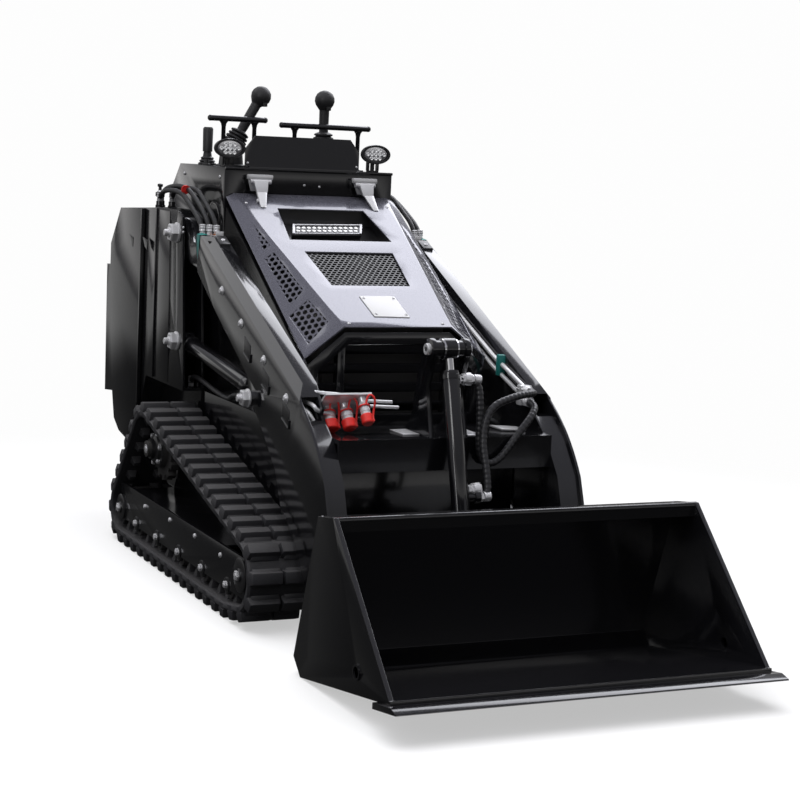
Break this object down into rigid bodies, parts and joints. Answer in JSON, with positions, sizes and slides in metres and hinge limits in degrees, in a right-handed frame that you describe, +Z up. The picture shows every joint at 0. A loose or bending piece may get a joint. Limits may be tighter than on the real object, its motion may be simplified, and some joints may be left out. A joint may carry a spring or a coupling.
{
  "type": "compact track loader",
  "caption": "Stand-on compact loader on two triangular rubber tracks: lift arms with cylinders, a curling bucket, a sloped hood, a control console and a folding platform at the rear.",
  "frame": {"origin": "on the ground, at the centre of the bounding box's footprint", "axes": "+X forward to the bucket, +Y to the machine's left, +Z up"},
  "size_m": [2.918, 1.074, 1.496],
  "materials": {
    "black_paint": "gloss",
    "silver_paint": "satin",
    "dark_paint": "satin",
    "cast_wheel": "matte",
    "steel": "brushed",
    "chrome_rod": "polished",
    "track_rubber": "matte",
    "hose_rubber": "matte",
    "red_cap": "matte",
    "grip": "matte",
    "lamp": "gloss"
  },
  "bodies": {
    "chassis": {"lower_frame": "black_paint", "nose_frame": "black_paint", "front_grille": "black_paint", "console": "black_paint", "engine_block": "cast_wheel", "headboard": "black_paint", "joysticks": "grip", "work_lamp_right": "lamp", "work_lamp_left": "lamp", "tower_right": "black_paint", "tower_left": "black_paint", "side_tank_right": "black_paint", "side_tank_left": "black_paint", "track_frame_right": "black_paint", "track_frame_left": "black_paint", "track_wheels_right": "cast_wheel", "track_wheels_left": "cast_wheel", "sprocket_right": "cast_wheel", "sprocket_left": "cast_wheel", "track_right": "track_rubber", "track_left": "track_rubber", "arm_hoses": "hose_rubber", "lift_hose_right": "hose_rubber", "lift_hose_left": "hose_rubber"},
    "lift_arms": {"lift_arm_right": "black_paint", "lift_arm_left": "black_paint", "arm_crossmember": "black_paint", "couplers": "steel", "coupler_caps": "red_cap", "arm_tubes": "steel", "tilt_hoses": "hose_rubber"},
    "bucket": {"bucket_shell": "black_paint", "cutting_edge": "black_paint", "bucket_mount": "black_paint"},
    "hood": {"hood": "silver_paint", "hood_latches": "chrome_rod", "hood_screens": "dark_paint", "light_bar": "dark_paint"},
    "platform": {"platform": "dark_paint"},
    "lift_barrel_right": {"lift_barrel_right": "black_paint"},
    "lift_barrel_left": {"lift_barrel_left": "black_paint"},
    "lift_rod_right": {"lift_rod_right": "chrome_rod"},
    "lift_rod_left": {"lift_rod_left": "chrome_rod"},
    "tilt_barrel": {"tilt_barrel": "black_paint"},
    "tilt_rod": {"tilt_rod": "chrome_rod"}
  },
  "joints": [
    {"name": "arm_lift", "type": "hinge", "parent": "chassis", "child": "lift_arms", "pos_m": [-0.657, 0, 1.04], "axis": [0, -1, 0], "range_deg": [0, 72], "deforming": ["arm_hoses"]},
    {"name": "bucket_curl", "type": "hinge", "parent": "lift_arms", "child": "bucket", "pos_m": [0.64, 0, 0.15], "axis": [0, 1, 0], "range_deg": [0, 115]},
    {"name": "hood_open", "type": "hinge", "parent": "chassis", "child": "hood", "pos_m": [0.19, 0, 0.715], "axis": [0, 1, 0], "range_deg": [0, 50]},
    {"name": "platform_fold", "type": "hinge", "parent": "chassis", "child": "platform", "pos_m": [-1.118, 0, 0.245], "axis": [0, 1, 0], "range_deg": [0, 80]},
    {"name": "lift_barrel_right", "type": "hinge", "parent": "chassis", "child": "lift_barrel_right", "pos_m": [-0.634, -0.3575, 0.693], "axis": [0, -1, 0], "range_deg": [0, 62.9], "deforming": ["lift_hose_right"]},
    {"name": "lift_rod_right", "type": "slide", "parent": "lift_barrel_right", "child": "lift_rod_right", "axis": [0.9934, 0, -0.1143], "range_m": [0, 0.38275]},
    {"name": "lift_barrel_left", "type": "hinge", "parent": "chassis", "child": "lift_barrel_left", "pos_m": [-0.634, 0.3575, 0.693], "axis": [0, -1, 0], "range_deg": [0, 62.9], "deforming": ["lift_hose_left"]},
    {"name": "lift_rod_left", "type": "slide", "parent": "lift_barrel_left", "child": "lift_rod_left", "axis": [0.9934, 0, -0.1143], "range_m": [0, 0.38275]},
    {"name": "tilt_barrel", "type": "slide", "parent": "lift_arms", "child": "tilt_barrel", "axis": [0.288, 0, -0.9576], "range_m": [0, 0.30715], "deforming": ["tilt_hoses"]},
    {"name": "tilt_rod", "type": "slide", "parent": "tilt_barrel", "child": "tilt_rod", "axis": [-0.288, 0, 0.9576], "range_m": [0, 0.30715]}
  ],
  "couplings": [
    {"joint": "lift_barrel_right", "follows": "arm_lift", "ratio": 0.87347},
    {"joint": "lift_rod_right", "follows": "arm_lift", "m_per_rad": 0.3045},
    {"joint": "lift_barrel_left", "follows": "arm_lift", "ratio": 0.87347},
    {"joint": "lift_rod_left", "follows": "arm_lift", "m_per_rad": 0.3045},
    {"joint": "tilt_barrel", "follows": "bucket_curl", "m_per_rad": 0.15298},
    {"joint": "tilt_rod", "follows": "bucket_curl", "m_per_rad": 0.15298}
  ]
}
